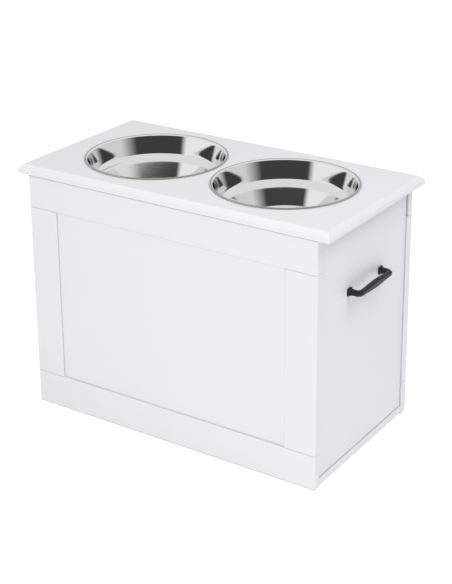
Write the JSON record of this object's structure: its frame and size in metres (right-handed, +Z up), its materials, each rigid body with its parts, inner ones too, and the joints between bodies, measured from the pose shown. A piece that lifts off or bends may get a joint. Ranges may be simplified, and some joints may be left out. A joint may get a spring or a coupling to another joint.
{
  "type": "elevated pet feeder with storage drawer",
  "caption": "Raised feeding stand: a painted board cabinet with lift-out steel bowls set in a moulded top board and a pull-out food drawer behind one end.",
  "frame": {"origin": "on the floor under the middle of the top board, which is the bottom centre of the bounding box", "axes": "+Z up; +X towards the end with the drawer and its handle; -Y is the front frame"},
  "size_m": [0.6, 0.316, 0.4375],
  "materials": {
    "white_paint": "satin white paint on fibreboard",
    "bare_wood": "planed hardwood, unfinished",
    "bowl_steel": "polished stainless steel with fine spun brushing",
    "black_metal": "satin black powder coat on die casting",
    "zinc_plate": "bright zinc plate",
    "nylon": "moulded nylon"
  },
  "bodies": {
    "cabinet": {"top_board": "white_paint", "front_top_rail": "white_paint", "front_bottom_rail": "white_paint", "front_left_stile": "white_paint", "front_right_stile": "white_paint", "front_panel": "white_paint", "rear_top_rail": "white_paint", "rear_bottom_rail": "white_paint", "rear_left_stile": "white_paint", "rear_right_stile": "white_paint", "rear_panel": "white_paint", "left_side_panel": "white_paint", "base_board": "white_paint", "front_guide_strip": "bare_wood", "rear_guide_strip": "bare_wood", "front_kicker": "bare_wood", "rear_kicker": "bare_wood", "frame_dowels": "bare_wood", "lid_dowels": "bare_wood", "lid_brackets": "zinc_plate", "bracket_screws": "zinc_plate", "cabinet_cam_bolts": "zinc_plate", "cabinet_cam_discs": "zinc_plate", "guide_screws": "zinc_plate", "base_screws": "zinc_plate"},
    "left_bowl_body": {"left_bowl": "bowl_steel"},
    "right_bowl_body": {"right_bowl": "bowl_steel"},
    "drawer": {"drawer_front": "white_paint", "drawer_front_side": "white_paint", "drawer_rear_side": "white_paint", "drawer_back": "white_paint", "drawer_bottom": "white_paint", "drawer_glides": "nylon", "drawer_dowels": "bare_wood", "drawer_cam_bolts": "zinc_plate", "drawer_cam_discs": "zinc_plate", "drawer_back_screws": "zinc_plate", "handle": "black_metal", "handle_screws": "zinc_plate"}
  },
  "joints": [
    {"name": "drawer_slide", "type": "slide", "parent": "cabinet", "child": "drawer", "axis": [1, 0, 0], "range_m": [0, 0.4]},
    {"name": "left_bowl_lift", "type": "slide", "parent": "cabinet", "child": "left_bowl_body", "axis": [0, 0, 1], "range_m": [0, 0.12]},
    {"name": "right_bowl_lift", "type": "slide", "parent": "cabinet", "child": "right_bowl_body", "axis": [0, 0, 1], "range_m": [0, 0.12]}
  ]
}
